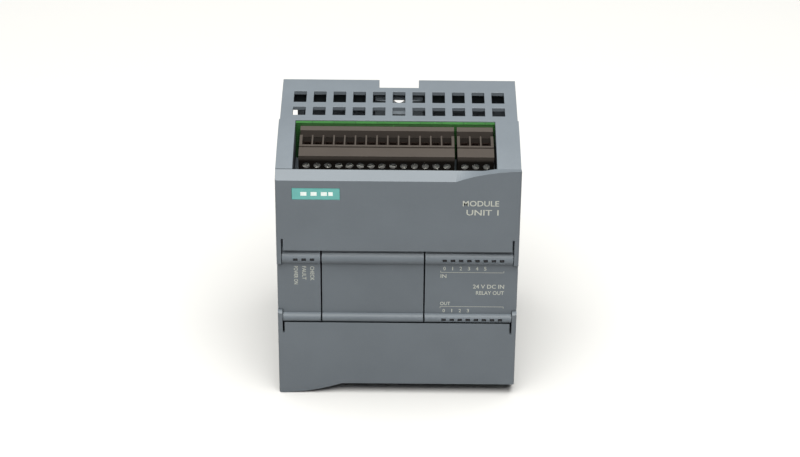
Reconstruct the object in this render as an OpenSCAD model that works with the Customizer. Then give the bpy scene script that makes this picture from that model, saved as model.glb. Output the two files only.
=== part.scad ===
// Compact controller module for a 35 mm DIN rail: a vented rear housing, a front housing with two
// wiring bays, two hinged doors, plug-in screw terminals, three circuit boards and two rail clips.
// Most shapes are drawn in case coordinates: x to the right, f forward from the mounting plane, z up.

/* [Case] */
// Width of the case
case_w = 90; // [86:1:130]
// Height of the case
case_h = 100; // [96:1:130]
// Depth from the mounting plane to the front face
case_d = 75; // [72:1:100]
// Depth of the rear housing, up to the seam between the housings
seam_f = 38.2; // [36:0.1:44]
// Wall of both housings
wall = 1.8; // [1.4:0.1:2.4]
// Amount by which the rear housing is smaller than the front housing
side_step = 0.3; // [0:0.1:0.6]
// Drop of the hood from the seam to the door
hood_drop = 2.5; // [1:0.1:4]
// Fillet on the upright front edges
edge_r = 0.9; // [0.5:0.1:2.4]

/* [Vents] */
// Number of vent columns
vent_cols = 11; // [5:1:12]
// Distance between vent columns
vent_pitch = 7.54; // [6:0.02:8]
// Width of one vent
vent_w = 4.8; // [3:0.1:5.6]
// Length of a vent in the rear row
vent_rear_len = 8.4; // [6:0.1:9.4]
// Length of a vent in the front row
vent_front_len = 6.3; // [5:0.1:7.4]
// Bar between the two rows
vent_bar = 3.6; // [2:0.1:4]
// Distance from the seam to the front row
vent_margin = 3.9; // [3:0.1:5]
// Width of the finger notch over each rail clip
notch_w = 15.2; // [14:0.1:18]
// Depth of the finger notch
notch_len = 6.1; // [4:0.1:7]

/* [Rail mounting] */
// Height of the DIN rail
rail_h = 35; // [35:1:35]
// Clearance above and below the rail
rail_gap = 0.4; // [0.2:0.1:0.8]
// Depth of the rail groove
groove_d = 7.7; // [7.6:0.1:9]
// Setback of the case back from the mounting plane
back_step = 6.6; // [6:0.1:7]
// Height of the mounting pads above and below the groove
pad_h = 24.2; // [22:0.1:28]
// Width of the mounting pads
pad_w = 77; // [60:1:80]
// Width of a rail clip
clip_w = 14.2; // [12:0.1:16]
// Thickness of a rail clip
clip_t = 4.6; // [3.6:0.1:5]
// Travel of a rail clip
clip_travel = 20; // [12:1:22]
// Screw hole in a rail clip
clip_hole_d = 4.3; // [3.2:0.1:5]
// Distance of the extended screw hole from the case edge
clip_reach = 9; // [7:0.5:10]
// Reach of the clip hook behind the rail edge
hook_reach = 1.7; // [1:0.1:2.2]
// Sliding clearance round a clip
clip_gap = 0.3; // [0.2:0.05:0.5]

/* [Middle panel] */
// Height of the lower seam above the base
mid_z = 32.45; // [30:0.05:42]
// Height of the middle panel
mid_h = 32.25; // [28:0.05:38]
// Depth of the panel behind the bead crests
panel_recess = 1.9; // [1:0.1:2.2]
// Radius of the upper bead
upper_bead_r = 2.45; // [2.2:0.05:2.6]
// Radius of the lower bead
lower_bead_r = 1.8; // [1.7:0.05:1.9]
// Left edge of the centre cover, from the left side of the case
cover_x = 16.5; // [15:0.1:20]
// Width of the opening for the centre cover
cover_w = 38.55; // [34:0.1:42]
// Gap round the centre cover
cover_gap = 0.6; // [0.3:0.05:0.7]
// Depth of the expansion slot behind the cover
slot_d = 20; // [16:0.5:21]

/* [Doors] */
// Thickness of a door
door_t = 1.6; // [1.4:0.1:2]
// Depth of the door sides
door_side_d = 4.5; // [4:0.1:5]
// Gap between a door and the housing
door_gap = 0.3; // [0.3:0.05:0.5]
// Height from the case edge down to the front edge of the door lip
lip_drop = 4.7; // [4:0.1:6]
// Radius of the sweep at the long corner of each door
sweep_r = 66; // [60:1:80]
// Outer radius of the hinge ears
ear_r = 3; // [2.6:0.1:3.2]
// Width of the hinge ears
ear_w = 1.75; // [1.6:0.05:2]
// Radius of the hinge pins
pin_r = 1.1; // [0.8:0.05:1.3]
// Length of the hinge pins
pin_len = 1.2; // [1:0.1:1.4]
// Running clearance of the hinge pins
pin_gap = 0.05; // [0.03:0.01:0.1]
// Length of the flexing slits beside the ears
slit_len = 5; // [4:0.1:7]

/* [Wiring bays] */
// Width of the rail beside the long terminal plug
short_rail_w = 6.2; // [5:0.1:8]
// Width of the rail at the other end of the window
long_rail_w = 8.8; // [8:0.1:10]
// Depth of a wiring bay
bay_depth = 15.5; // [14:0.1:17]
// Distance from the front face to the deck behind the doors
deck_set = 9; // [8.4:0.1:10]

/* [Terminals] */
// Distance between terminals
term_pitch = 4; // [3.8:0.05:4.05]
// Ways on the long plug
main_ways = 14; // [8:1:14]
// Ways on the short plug
analog_ways = 3; // [2:1:3]
// Ways on the output plug
output_ways = 8; // [4:1:8]
// Distance from the case edge to the outer face of a plug
plug_set = 1.8; // [1.6:0.1:2.2]
// Height of a plug
plug_h = 12; // [11.5:0.1:12.5]
// Gap between neighbouring plugs
plug_gap = 1.05; // [0.6:0.05:1.5]

/* [Indicators] */
// Distance between channel lamps
lamp_pitch = 3.04; // [2.8:0.02:3.2]
// Width of a lamp window
lamp_w = 1.7; // [1.4:0.1:1.9]
// Height of a lamp window
lamp_h = 1.3; // [1:0.1:1.5]

/* [Boards] */
// Thickness of the circuit boards
board_t = 1.6; // [1.2:0.1:2]

/* [Hidden] */
half_w = case_w / 2;
eps = 0.01;
over = 1;

// Planes counted forward from the mounting plane
front_f = case_d;
panel_f = front_f - panel_recess;
skin_f = front_f - door_t;
door_back_f = front_f - door_side_d;
rail_end_f = door_back_f - door_gap;
deck_f = front_f - deck_set;
deck_t = 1.6;
inner_f = groove_d + wall;
slot_f = front_f - slot_d;

// Rear housing
rear_half_w = half_w - side_step;
rear_top_z = case_h - side_step;
top_t = 1.6;
groove_h = rail_h + 2 * rail_gap;
groove_z0 = (case_h - groove_h) / 2;
groove_z1 = groove_z0 + groove_h;
pad_rim = 1.8;
channel_wall = 2;
lip_t = 1.2;
channel_f0 = lip_t;
channel_f1 = lip_t + clip_t + 2 * clip_gap;
channel_half = clip_w / 2 + clip_gap;
lip_over = 1.5;
vent_front_f0 = seam_f - vent_margin - vent_front_len;
vent_rear_f0 = vent_front_f0 - vent_bar - vent_rear_len;
vent_rows = [[vent_rear_f0, vent_rear_len], [vent_front_f0, vent_front_len]];
vent_xs = [for (i = [0:vent_cols - 1]) (i - (vent_cols - 1) / 2) * vent_pitch];
flank_slot = [5.6, 2.2]; // distance from the case side, width
flank_slot_z = [case_h - 19, case_h - 10];
boss_bore_r = 1.3;
boss_bore_depth = 7;
sight_half_w = 3;
sight_h = 5.8;
skirt_t = 1.6;
skirt_drop = 5; // from the case edge down to the skirt's edge

// Clips, in the upper one's position
clip_f0 = channel_f0 + clip_gap;
clip_hook_z = (case_h + rail_h) / 2 - hook_reach;
clip_hole_z = case_h + clip_reach - clip_travel;
clip_ear_r = 3.6;
clip_ear_t = 2.6;
clip_body_h = 18.2;
clip_lead_in = 1.4;
clip_slot = [6, 2.4, 4]; // across, deep, high

// Middle panel
mid_top = mid_z + mid_h;
upper_bead_z = mid_top - 3.85;
lower_bead_z = mid_z + 1.85;
upper_bead_f = front_f - upper_bead_r;
lower_bead_f = front_f - lower_bead_r;
cover_x0 = -half_w + cover_x - cover_gap / 2;
cover_x1 = cover_x0 + cover_w + cover_gap;
panel_t = 2;
slot_wall = 1.5;
web_t = 1.8;

// Doors and hinges
upper_edge_z = mid_top + 0.4;
lower_edge_z = mid_z + 0.4;
ear_in = half_w - ear_w;
bead_end = ear_in - door_gap;
bore_depth = pin_len + 0.05;
slit_w = 0.8;
lip_front_z = case_h - lip_drop;
lip_back_z = case_h - hood_drop - 0.1;
sweep_top = case_h - 0.2;
sweep_x0 = half_w - sqrt(2 * sweep_r * (lip_drop - 0.2) - pow(lip_drop - 0.2, 2));
lip_rise = 0.8;
ear_room = ear_r + 0.3;
door_bevel = 1.4;
rib_xs = [-28, 0, 28];
rib_t = 1;

// Nameplate, let into the upper door
plate = [17.8, 5.2];
plate_x = -half_w + 6;
plate_z = lip_front_z - 8.3;
plate_t = 0.5;
plate_sink = 0.15;
plate_gap = 0.1;

// Wiring bays
window_x0 = -half_w + short_rail_w;
window_x1 = half_w - long_rail_w;
bay_wall = 1.5;
bay_z = case_h - bay_depth;

// Main board, close in front of the seam
board_f0 = seam_f + 0.2;
board_f1 = board_f0 + board_t;
rebate_f = board_f1 + 0.3;

// Terminal plug, in the upper bay's position
plug_top = case_h - plug_set;
plug_bot = plug_top - plug_h;
header_f0 = board_f1 + 0.1;
header_t = 3.2;
plug_f0 = header_f0 + header_t + 0.2;
plug_len = 18.6;
plug_f1 = plug_f0 + plug_len;
plug_side = 0.75;
cell_f0 = plug_f0 + 3.3;
cell_len = 7;
cell_w = term_pitch - 0.55;
cell_depth = 6.5;
cage_t = 0.5;
groove_line = [plug_f0 + 11.4, 1];
screw_z = plug_top - 4.5;
screw_head_r = 1.45;
screw_shank_r = 1;
pin_z = plug_top - 8.6;
contact_r = 0.5;
main_x = window_x0 + 2;
analog_x = main_x + main_ways * term_pitch + 2 * plug_side + plug_gap;
output_x = -window_x0 - 2 - output_ways * term_pitch - 2 * plug_side;

// Indicators
status_x = [for (i = [0:2]) -half_w + 7.03 + i * 3.08];
channel_x = [for (i = [0:7]) half_w - 6.2 - i * lamp_pitch];

// Network jack, mouth down
jack = [16, 13.6, 20.6];
jack_x = -window_x1 + 2.7;
jack_z0 = 1.4;

// Power and processor boards
power_f0 = 15;
power_f1 = power_f0 + board_t;
power_half_w = 38;
power_z = [9, case_h - 16];
boss_r = 3;
boss_x = power_half_w - 5;
boss_z = [power_z[0] + 8, power_z[1] - 8];
cpu_f0 = deck_f - 15.6;
cpu_f1 = cpu_f0 + board_t;
cpu_half_w = half_w - 5;
cpu_z = [jack_z0 + jack[2] + 1.5, bay_z - 4];
lamp_f0 = cpu_f1 + 1;

// Bus sockets and covers at the two sides
bus_f = [cpu_f1 - 3, cpu_f1 + 9];
bus_z = [lower_bead_z + 5.7, upper_bead_z - 0.85];
bus_gap = 0.25;
bus_plate_t = 1.4;

expansion_x = [-16.5, -2.5];
expansion_z = [mid_z + 12.5, mid_z + 19.5];
socket_room = 0.8;
socket_stand = 1.5;

// Card slot
card_x = -20;
card_w = 25;
card_z = bay_z - 10.4;
card_h = 3.4;

// Parts on the power board; each place is its centre's [x, z]
power_link_xs = [-24, 20];
power_link_w = 16;
power_link_z = [power_z[1] - 5, power_z[1] - 1.2];
core = [24, 17, 22]; // across, forward, up
core_at = [4, case_h / 2 + 2];
core_lift = 1.6;
core_f = power_f1 + core_lift;
core_limb = 6.6;
coil_half_w = 8.5;
coil_half_h = 6.8;
bulk_cap_at = [24, 30];
bulk_cap_r = 8;
bulk_cap_h = 18.5;
output_cap_at = [[-27, 62], [-27, 50.5], [27, 66]];
output_cap_r = 5;
output_cap_h = 16;
choke_at = [-24.5, 28];
choke_r = [5, 8]; // bore and outside
choke_h = 7;
choke_wire = 1.4;
choke_lift = 3;
fuse_at = [4, 17];
fuse_r = 4.2;
fuse_h = 8;
varistor_at = [-10.6, 20];
varistor_r = 5;
varistor_t = 3.2;
rectifier_x = [8, 12];
rectifier_h = 14;
rectifier_z = [24, 38];
sink_x = -16;
sink_w = 5.4;
sink_base_t = 1.6;
sink_h = 18;
sink_z = [36, 68];
sink_fins = 8;
sink_fin_t = 1.2;

// Parts on the main and processor boards; sizes are across, forward, up
link_half_w = 14;
opto = [6.5, 3.4, 4.6];
opto_x = -34;
opto_pitch = 8;
driver = [6, 1.6, 5];
driver_x = 8;
driver_pitch = 7.4;
chip_z = [case_h / 2 + 4, case_h / 2 + 21];
memory_xs = [14, 24];
crystal_x = -24;
crystal_size = [11, 3.4, 4.4];
backup_cap_at = [30, 34];
backup_cap_r = 5.4;
backup_cap_h = 5.5;

$fn = 48;

// ---------- Drawing in case coordinates ----------

// Children drawn with x right, f forward and z up
module placed() translate([0, case_d / 2, 0]) mirror([0, 1, 0]) children();

// Box from three [low, high] pairs
module block(x, f, z)
    translate([x[0], f[0], z[0]]) cube([x[1] - x[0], f[1] - f[0], z[1] - z[0]]);

// Side profile, drawn as (f, z), carried across the case
module across(x0, x1)
    translate([x0, 0, 0]) rotate([90, 0, 90]) linear_extrude(x1 - x0) children();

// Front outline, drawn as (x, z), carried forward
module facing(f0, f1)
    translate([0, f1, 0]) rotate([90, 0, 0]) linear_extrude(f1 - f0) children();

// Plan outline, drawn as (x, f), carried up
module upright(z0, z1) translate([0, 0, z0]) linear_extrude(z1 - z0) children();

module rod_x(r, x0, x1, f, z) translate([x0, f, z]) rotate([0, 90, 0]) cylinder(r = r, h = x1 - x0);

module rod_f(r, f0, f1, x, z) translate([x, f1, z]) rotate([90, 0, 0]) cylinder(r = r, h = f1 - f0);

// The same thing at the other end of the case, turned half round about the case's middle
module turned() translate([0, 0, case_h]) rotate([0, 180, 0]) children();

// The same thing at the lower edge, mirrored
module mirrored_down() translate([0, 0, case_h]) mirror([0, 0, 1]) children();

module both_sides() {
    children();
    mirror([1, 0, 0]) children();
}

// Plan of the front with filleted corners
module front_plan(f_max) {
    translate([-half_w, 0]) square([case_w, f_max - edge_r]);
    translate([-half_w + edge_r, 0]) square([case_w - 2 * edge_r, f_max]);
    for (s = [-1, 1]) translate([s * (half_w - edge_r), f_max - edge_r]) circle(edge_r);
}

// ---------- Rear housing ----------

module rear_housing() placed() color("#9aa4aa") difference() {
    union() {
        block([-rear_half_w, rear_half_w], [back_step, seam_f], [0, rear_top_z]);
        for (z = [[groove_z0 - pad_h, groove_z0 + eps], [groove_z1 - eps, groove_z1 + pad_h]])
            block([-pad_w / 2, pad_w / 2], [0, inner_f], z);
    }
    // Rail groove
    block([-half_w - over, half_w + over], [-over, groove_d], [groove_z0, groove_z1]);
    // Inside
    difference() {
        block([-rear_half_w + wall, rear_half_w - wall], [back_step + wall, seam_f + over],
              [top_t, rear_top_z - top_t]);
        block([-rear_half_w, rear_half_w], [0, inner_f], [groove_z0 - wall, groove_z1 + wall]);
        for (z = [groove_z0 - pad_h, groove_z1])
            block([-channel_half - channel_wall, channel_half + channel_wall], [0, inner_f], [z, z + pad_h]);
        both_sides() for (z = boss_z) rod_f(boss_r, 0, power_f0, boss_x, z);
        for (down = [false, true]) at_edge(down)
            block([-notch_w / 2 - skirt_t, notch_w / 2 + skirt_t], [0, back_step + notch_len + skirt_t],
                  [case_h - skirt_drop, case_h]);
    }
    // Pockets in the pads
    both_sides() for (z = [groove_z0 - pad_h, groove_z1])
        difference() {
            block([channel_half + channel_wall, pad_w / 2 - pad_rim], [pad_rim, inner_f + eps],
                  [z + pad_rim, z + pad_h - pad_rim]);
            for (zb = boss_z) rod_f(boss_r, 0, power_f0, boss_x, zb);
        }
    both_sides() for (z = boss_z) rod_f(boss_bore_r, power_f0 - boss_bore_depth, power_f0 + over, boss_x, z);
    // Vents, clip channels and notches at the top and at the bottom
    for (down = [false, true]) at_edge(down) {
        for (x = vent_xs) for (row = vent_rows)
            block([x - vent_w / 2, x + vent_w / 2], [row[0], row[0] + row[1]],
                  [rear_top_z - top_t - over, case_h + over]);
        clip_channel();
        block([-notch_w / 2, notch_w / 2], [-over, back_step + notch_len],
              [groove_z1 + pad_h, case_h + over]);
    }
    // Slot beside the upper left pad, and the same turned half round
    flank_cut();
    turned() flank_cut();
}

module flank_cut() block([flank_slot[0] - flank_slot[1] - half_w, flank_slot[0] - half_w],
                         [-over, inner_f + over], flank_slot_z);

module at_edge(down) if (down) mirrored_down() children(); else children();

// Slideway of the upper clip, open at the back and at both ends, with a sight hole above the clip
module clip_channel() {
    z = [groove_z1 - over, groove_z1 + pad_h + over];
    block([-channel_half, channel_half], [channel_f0, channel_f1], z);
    block([-channel_half + lip_over, channel_half - lip_over], [-over, channel_f0 + eps], z);
    block([-sight_half_w, sight_half_w], [channel_f0, inner_f + over],
          [groove_z1 + pad_h - sight_h, groove_z1 + pad_h + over]);
}

// ---------- Front housing ----------

hood_len = rail_end_f - seam_f;
hood_r = (pow(hood_len, 2) + pow(hood_drop, 2)) / (2 * hood_drop);
hood_steps = 16;
function hood_fall(s) = hood_r - sqrt(pow(hood_r, 2) - pow(s, 2));
function hood_line(down) = [for (i = [0:hood_steps])
    let (s = hood_len * (down ? i : hood_steps - i) / hood_steps)
    [seam_f + s, down ? hood_fall(s) : case_h - hood_fall(s)]];

module case_side() polygon(concat(
    hood_line(true),
    [[rail_end_f, mid_z], [panel_f, mid_z], [panel_f, mid_top], [rail_end_f, mid_top]],
    hood_line(false)));

module beads(x0, x1) {
    rod_x(upper_bead_r, x0, x1, upper_bead_f, upper_bead_z);
    rod_x(lower_bead_r, x0, x1, lower_bead_f, lower_bead_z);
}

module lamp_holes(xs, z) for (x = xs)
    block([x - lamp_w / 2, x + lamp_w / 2], [deck_f - 6, front_f + over], [z - lamp_h / 2, z + lamp_h / 2]);

module front_housing() placed() color("#6d757b") difference() {
    union() {
        difference() {
            union() {
                intersection() {
                    across(-half_w, half_w) case_side();
                    upright(-over, case_h + over) front_plan(panel_f);
                }
                beads(-bead_end, bead_end);
            }
            housing_hollows();
        }
        block([cover_x0 - slot_wall, cover_x1 + slot_wall], [slot_f - slot_wall, panel_f - panel_t + eps],
              [mid_z + 0.3, mid_top - 0.3]);
    }
    // Expansion slot, and the strip that the centre cover fills
    block([cover_x0, cover_x1], [slot_f, front_f + over], [mid_z + web_t, mid_top - web_t]);
    block([cover_x0, cover_x1], [rail_end_f - 1.2, front_f + over], [mid_z - over, mid_top + over]);
    block(expansion_x + [-socket_room, socket_room], [slot_f - 2 * slot_wall, slot_f + over],
          expansion_z + [-socket_room, socket_room]);
    lamp_holes(concat(status_x, channel_x), upper_bead_z);
    lamp_holes(channel_x, lower_bead_z);
    // Room for the hinge ears, and the sockets for their pins
    both_sides() {
        ear_notch(upper_bead_f, [upper_bead_z - ear_room, mid_top + over]);
        ear_notch(lower_bead_f, [mid_z - over, lower_bead_z + ear_room]);
        pin_socket(upper_bead_f, upper_bead_z);
        pin_socket(lower_bead_f, lower_bead_z);
        block([half_w - wall - over, half_w + over], bus_f, bus_z);
    }
}

module ear_notch(f, z) block([bead_end, half_w + over], [f - ear_room - 0.1, front_f + over], z);

module pin_socket(f, z) rod_x(pin_r + pin_gap, bead_end - bore_depth, bead_end + over, f, z);

// Everything cut from the inside, the bays and the space behind the doors
module housing_hollows() {
    inner = [-half_w + wall, half_w - wall];
    lamp_room = half_w - 5.8;
    block(inner, [seam_f - over, rebate_f], [wall, case_h - wall]);
    block(inner, [seam_f - over, deck_f - deck_t], [bay_depth + bay_wall, bay_z - bay_wall]);
    block([-lamp_room, lamp_room], [deck_f - deck_t - over, panel_f - panel_t],
          [mid_z + web_t, mid_top - web_t]);
    upper_bay();
    turned() upper_bay();
    // Space behind each door
    block(inner, [deck_f, front_f + over], [mid_top + eps, case_h - hood_drop - 2]);
    block(inner, [deck_f, front_f + over], [hood_drop + 2, mid_z - eps]);
    // Card slot in the upper deck
    block([card_x, card_x + card_w], [deck_f - deck_t - over, deck_f + over], [card_z, card_z + card_h]);
    // Passage of the network jack through the lower bay
    block([jack_x - 0.3, jack_x + jack[0] + 0.3], [seam_f, header_f0 + jack[1] + 0.3],
          [0, jack_z0 + jack[2] + 1]);
}

// Terminal bay open to the top and front, and the hollow rails at its two ends
module upper_bay() {
    block([window_x0, window_x1], [seam_f - over, front_f + over], [bay_z, case_h + over]);
    for (x = [[-half_w + wall, window_x0 - bay_wall], [window_x1 + bay_wall, half_w - wall]])
        block(x, [seam_f - over, deck_f - deck_t], [bay_z - 2 * bay_wall, case_h - hood_drop - 1.4]);
}

// ---------- Doors ----------

// Height of the door's front edge and of its lip's back edge at x, at the upper door
function sweep_z(x) = x < sweep_x0 ? lip_front_z
    : sweep_top - sweep_r + sqrt(pow(sweep_r, 2) - pow(half_w - x, 2));
function ease(t) = let (u = max(0, min(1, t))) u * u * (3 - 2 * u);
function lip_z(x) = lip_back_z + lip_rise * ease((x - half_w + 14.5) / 6);

sweep_steps = 40;
module door_sweep() {
    xs = [for (i = [0:sweep_steps]) sweep_x0 + (half_w - sweep_x0) * i / sweep_steps];
    rows = [for (x = xs) [
        [x, front_f, lip_front_z - 1], [x, front_f, sweep_z(x)], [x, door_back_f, lip_z(x)],
        [x, door_back_f, lip_back_z - 1.8], [x, skin_f, lip_front_z - 1]]];
    n = 5;
    last = sweep_steps * n;
    polyhedron(
        points = [for (r = rows) for (p = r) p],
        faces = concat(
            [[for (j = [0:n - 1]) j], [for (j = [n - 1:-1:0]) last + j]],
            [for (i = [0:sweep_steps - 1]) for (j = [0:n - 1])
                let (a = i * n + j, b = i * n + (j + 1) % n) [a, a + n, b + n, b]]),
        convexity = 4);
}

// A door in the upper one's position: its hinge edge at edge_z and its hinge axis at pivot_f, pivot_z
module door(edge_z, pivot_f, pivot_z) {
    difference() {
        intersection() {
            union() {
                across(-half_w, half_w) polygon([
                    [front_f, edge_z], [front_f, lip_front_z], [door_back_f, lip_back_z],
                    [door_back_f, lip_back_z - 1.8], [skin_f, lip_front_z - 1],
                    [skin_f, edge_z + door_bevel]]);
                door_sweep();
                both_sides() {
                    across(ear_in, half_w) polygon([
                        [front_f, edge_z + 0.9], [front_f, lip_front_z], [door_back_f, lip_back_z],
                        [door_back_f, edge_z + 0.9]]);
                    across(ear_in, half_w) {
                        translate([pivot_f, pivot_z]) circle(ear_r);
                        translate([pivot_f, pivot_z]) square([ear_r, edge_z + 2 - pivot_z]);
                    }
                }
                for (x = rib_xs) block([x - rib_t / 2, x + rib_t / 2], [skin_f - 1.5 * rib_t, skin_f + eps],
                                       [edge_z + 8, lip_front_z - 6]);
            }
            upright(0, case_h + over) front_plan(front_f);
        }
        both_sides() block([ear_in - slit_w, ear_in], [skin_f - over, front_f + over],
                           [edge_z - over, edge_z + slit_len]);
    }
    both_sides() rod_x(pin_r, ear_in - pin_len, ear_in + 0.5, pivot_f, pivot_z);
}

module upper_door() placed() color("#6b737a") difference() {
    door(upper_edge_z, upper_bead_f, upper_bead_z);
    block([plate_x, plate_x + plate[0]], [front_f - plate_t - plate_sink, front_f + over],
          [plate_z, plate_z + plate[1]]);
}

module lower_door() placed() color("#6b737a")
    turned() door(case_h - lower_edge_z, lower_bead_f, case_h - lower_bead_z);

module nameplate() placed() color("#5faea9")
    block([plate_x + plate_gap, plate_x + plate[0] - plate_gap],
          [front_f - plate_t - plate_sink, front_f - plate_sink],
          [plate_z + plate_gap, plate_z + plate[1] - plate_gap]);

// ---------- Centre cover ----------

module centre_cover() placed() color("#696f77") {
    x0 = cover_x0 + cover_gap;
    x1 = cover_x1 - cover_gap;
    middle = (x0 + x1) / 2;
    skirt = 1.2;
    arm_half_w = 4;
    arm_len = 6;
    difference() {
        union() {
            block([x0, x1], [rail_end_f - 0.8, panel_f], [mid_z, mid_top]);
            beads(x0, x1);
        }
        block([x0 + skirt, x1 - skirt], [rail_end_f - over - 0.8, panel_f - panel_t],
              [mid_z + skirt, mid_top - skirt]);
    }
    // Snap arms that reach into the expansion slot
    for (z = [mid_z + web_t + 0.3, mid_top - web_t - 0.3 - skirt])
        block([middle - arm_half_w, middle + arm_half_w], [rail_end_f - arm_len, panel_f - panel_t + eps],
              [z, z + skirt]);
}

// ---------- Rail clips ----------

// The upper clip: a sliding block with a hook at the rail and an ear with the screw hole
module rail_clip() difference() {
    union() {
        block([-clip_w / 2, clip_w / 2], [clip_f0, clip_f0 + clip_t],
              [clip_hook_z, clip_hook_z + clip_body_h]);
        facing(clip_f0, clip_f0 + clip_ear_t) {
            translate([0, clip_hole_z]) circle(clip_ear_r);
            translate([-clip_ear_r, clip_hook_z]) square([2 * clip_ear_r, clip_hole_z - clip_hook_z]);
        }
    }
    rod_f(clip_hole_d / 2, 0, clip_f0 + clip_t + over, 0, clip_hole_z);
    // Lead-in on the hook, and a slot for a screwdriver
    translate([0, clip_f0 + clip_t, clip_hook_z]) rotate([45, 0, 0])
        cube([clip_w + 2 * over, clip_lead_in, clip_lead_in], center = true);
    block([-clip_slot[0] / 2, clip_slot[0] / 2], [clip_f0 - over, clip_f0 + clip_slot[1]],
          [clip_hook_z + clip_slot[2], clip_hook_z + 2 * clip_slot[2]]);
}

module upper_din_clip() placed() color("#4d555b") rail_clip();

module lower_din_clip() placed() color("#4d555b") mirrored_down() rail_clip();

// ---------- Bus covers and sockets ----------

module bus_cover() {
    f = bus_f + [bus_gap, -bus_gap];
    z = bus_z + [bus_gap, -bus_gap];
    block([half_w - bus_plate_t, half_w], f, z);
    difference() {
        block([half_w - wall - 0.7, half_w - bus_plate_t + eps], f + [0.8, -0.8], z + [0.8, -0.8]);
        block([half_w - wall - 2, half_w - bus_plate_t], f + [1.8, -1.8], z + [1.8, -1.8]);
    }
}

module bus_socket() difference() {
    block([cpu_half_w - 7.5, cpu_half_w - 0.5], [cpu_f1, cpu_f1 + 5.6], bus_z + [2, -2]);
    for (i = [0:6]) for (df = [1.6, 4])
        rod_x(0.6, cpu_half_w - 5, cpu_half_w, cpu_f1 + df, bus_z[0] + 4 + 2 * i);
}

module left_bus_cover() placed() color("#656d74") mirror([1, 0, 0]) bus_cover();
module right_bus_cover() placed() color("#656d74") bus_cover();
module left_bus_socket() placed() color("#2b2c2e") mirror([1, 0, 0]) bus_socket();
module right_bus_socket() placed() color("#2b2c2e") bus_socket();

// ---------- Boards ----------

module main_board() placed() color("#3a7a35") difference() {
    union() {
        block([-half_w + wall + 0.3, half_w - wall - 0.3], [board_f0, board_f1],
              [wall + 0.6, case_h - wall - 0.6]);
        block([window_x0 + 0.2, window_x1 - 0.2], [board_f0, board_f1], [case_h / 2, case_h - 0.6]);
        block([-window_x1 + 0.2, -window_x0 - 0.2], [board_f0, board_f1], [0.6, case_h / 2]);
    }
    for_each_way() rod_f(contact_r + 0.1, board_f0 - over, board_f1 + over, 0, pin_z);
}

module power_board() placed() color("#3a7a35") difference() {
    block([-power_half_w, power_half_w], [power_f0, power_f1], power_z);
    both_sides() for (z = boss_z) rod_f(1.6, power_f0 - over, power_f1 + over, boss_x, z);
}

module processor_board() placed() color("#3a7a35")
    block([-cpu_half_w, cpu_half_w], [cpu_f0, cpu_f1], cpu_z);

module insulating_sheet() placed() color("#d8d2b8") difference() {
    block([-power_half_w - 1, power_half_w + 1], [power_f0 - 2.4, power_f0 - 2.1], power_z + [-1, 0]);
    both_sides() for (z = boss_z) rod_f(boss_r + 0.3, power_f0 - 4, power_f0 + over, boss_x, z);
}

module board_screws() placed() color("#c9ccce") both_sides() for (z = boss_z) difference() {
    union() {
        rod_f(2.6, power_f1, power_f1 + 1.8, boss_x, z);
        rod_f(1.25, power_f0 - 6, power_f1 + 0.5, boss_x, z);
    }
    block([boss_x - 1.8, boss_x + 1.8], [power_f1 + 1, power_f1 + 3], [z - 0.3, z + 0.3]);
    block([boss_x - 0.3, boss_x + 0.3], [power_f1 + 1, power_f1 + 3], [z - 1.8, z + 1.8]);
}

// ---------- Terminals ----------

// Children once for each way of a plug that starts at x
module ways(x, n) for (i = [0:n - 1]) translate([x + plug_side + (i + 0.5) * term_pitch, 0, 0]) children();

// Children once for each way of all three plugs
module for_each_way() {
    ways(main_x, main_ways) children();
    ways(analog_x, analog_ways) children();
    mirrored_down() ways(output_x, output_ways) children();
}

function plug_w(n) = n * term_pitch + 2 * plug_side;

module header(x, n) difference() {
    block([x, x + plug_w(n)], [header_f0, header_f0 + header_t], [plug_bot, plug_top]);
    ways(x, n) rod_f(contact_r + 0.05, header_f0 - over, header_f0 + header_t + over, 0, pin_z);
}

// A plug with a wire cell and a screw well for each way
module plug(x, n) difference() {
    block([x, x + plug_w(n)], [plug_f0, plug_f1], [plug_bot, plug_top]);
    block([x - over, x + plug_w(n) + over], [plug_f0 - over, cell_f0], [plug_top - 2.8, plug_top + over]);
    block([x - over, x + plug_w(n) + over], [groove_line[0], groove_line[0] + groove_line[1]],
          [plug_top - 0.7, plug_top + over]);
    ways(x, n) {
        block([-cell_w / 2, cell_w / 2], [cell_f0, cell_f0 + cell_len],
              [plug_top - cell_depth, plug_top + over]);
        rod_f(screw_head_r + 0.15, plug_f1 - 3.6, plug_f1 + over, 0, screw_z);
        rod_f(screw_shank_r + 0.15, cell_f0 + cell_len - over, plug_f1, 0, screw_z);
        rod_f(contact_r + 0.2, plug_f0 - over, plug_f0 + 5.6, 0, pin_z);
    }
}

// A clamp for each way: a folded metal cage, open to the top, with a threaded front wall
module clamps(x, n) ways(x, n) difference() {
    out = cell_w / 2 - 0.1;
    floor_z = plug_top - cell_depth;
    block([-out, out], [cell_f0 + 0.3, cell_f0 + cell_len - 0.1], [floor_z, floor_z + 3.9]);
    block([-out + cage_t, out - cage_t], [cell_f0 + 0.3 + cage_t, cell_f0 + cell_len - 0.1 - 2 * cage_t],
          [floor_z + cage_t, plug_top]);
    rod_f(screw_shank_r + 0.08, cell_f0 + cell_len / 2, cell_f0 + cell_len, 0, screw_z);
}

module screws(x, n) ways(x, n) difference() {
    union() {
        rod_f(screw_head_r, plug_f1 - 3.3, plug_f1 - 0.9, 0, screw_z);
        rod_f(screw_shank_r, cell_f0 + 2.4, plug_f1 - 3, 0, screw_z);
    }
    block([-screw_head_r - 1, screw_head_r + 1], [plug_f1 - 1.7, plug_f1], [screw_z - 0.25, screw_z + 0.25]);
}

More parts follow.
